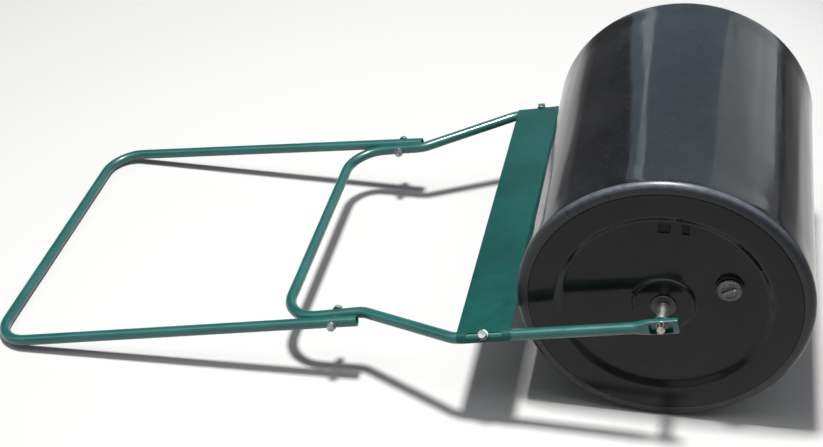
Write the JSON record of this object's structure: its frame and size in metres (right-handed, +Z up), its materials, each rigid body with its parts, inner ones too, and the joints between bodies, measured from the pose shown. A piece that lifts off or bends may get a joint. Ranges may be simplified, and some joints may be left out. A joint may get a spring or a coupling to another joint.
{
  "type": "lawn roller",
  "caption": "Push lawn roller: hollow water-ballast drum on a plain axle, bent-tube frame with scraper plate, and a folding tube handle resting on the ground.",
  "frame": {"origin": "on the ground, under the middle of the whole machine's bounding box", "axes": "+X from the handle towards the drum, +Y along the axle to the far side (the filler plug is on the -Y end), +Z up"},
  "size_m": [1.4109, 0.705, 0.46],
  "materials": {
    "frame_paint": "satin green powder coat, slightly orange-peeled, worn at the bolts and the grip corners",
    "drum_plastic": "glossy black moulded polyethylene, gently wavy, finely scuffed round the rolling face",
    "end_plastic": "semi-gloss black moulded plastic",
    "zinc": "bright zinc plating",
    "bare_steel": "plain turned steel with light surface rust at the ends",
    "nylon": "matt black moulded nylon",
    "seal_rubber": "matt black rubber"
  },
  "bodies": {
    "frame": {"lower_frame": "frame_paint", "scraper_plate": "frame_paint", "axle_rod": "bare_steel", "axle_spacer_near": "zinc", "axle_washer_near": "zinc", "pin_washer_near": "zinc", "split_pin_near": "zinc", "scraper_bolt_near": "zinc", "scraper_washer_near": "zinc", "scraper_back_washer_near": "zinc", "scraper_nut_near": "zinc", "handle_bolt_near": "zinc", "handle_washer_near": "zinc", "handle_back_washer_near": "zinc", "handle_nut_near": "zinc", "axle_spacer_far": "zinc", "axle_washer_far": "zinc", "pin_washer_far": "zinc", "split_pin_far": "zinc", "scraper_bolt_far": "zinc", "scraper_washer_far": "zinc", "scraper_back_washer_far": "zinc", "scraper_nut_far": "zinc", "handle_bolt_far": "zinc", "handle_washer_far": "zinc", "handle_back_washer_far": "zinc", "handle_nut_far": "zinc"},
    "drum": {"drum_barrel": "drum_plastic", "drum_end_near": "end_plastic", "drum_end_far": "end_plastic", "axle_sleeve": "bare_steel", "hub_bush_near": "nylon", "hub_bush_far": "nylon"},
    "plug": {"fill_plug": "nylon", "plug_seal": "seal_rubber"},
    "handle": {"handle_tube": "frame_paint"}
  },
  "joints": [
    {"name": "drum_spin", "type": "hinge", "parent": "frame", "child": "drum", "pos_m": [0.47551, 0, 0.23], "axis": [0, 1, 0], "continuous": true},
    {"name": "handle_fold", "type": "hinge", "parent": "frame", "child": "handle", "pos_m": [-0.06622, 0, 0.11643], "axis": [0, 1, 0], "range_deg": [0, 150]},
    {"name": "plug_out", "type": "slide", "parent": "drum", "child": "plug", "axis": [0, -1, 0], "range_m": [0, 0.03]}
  ]
}
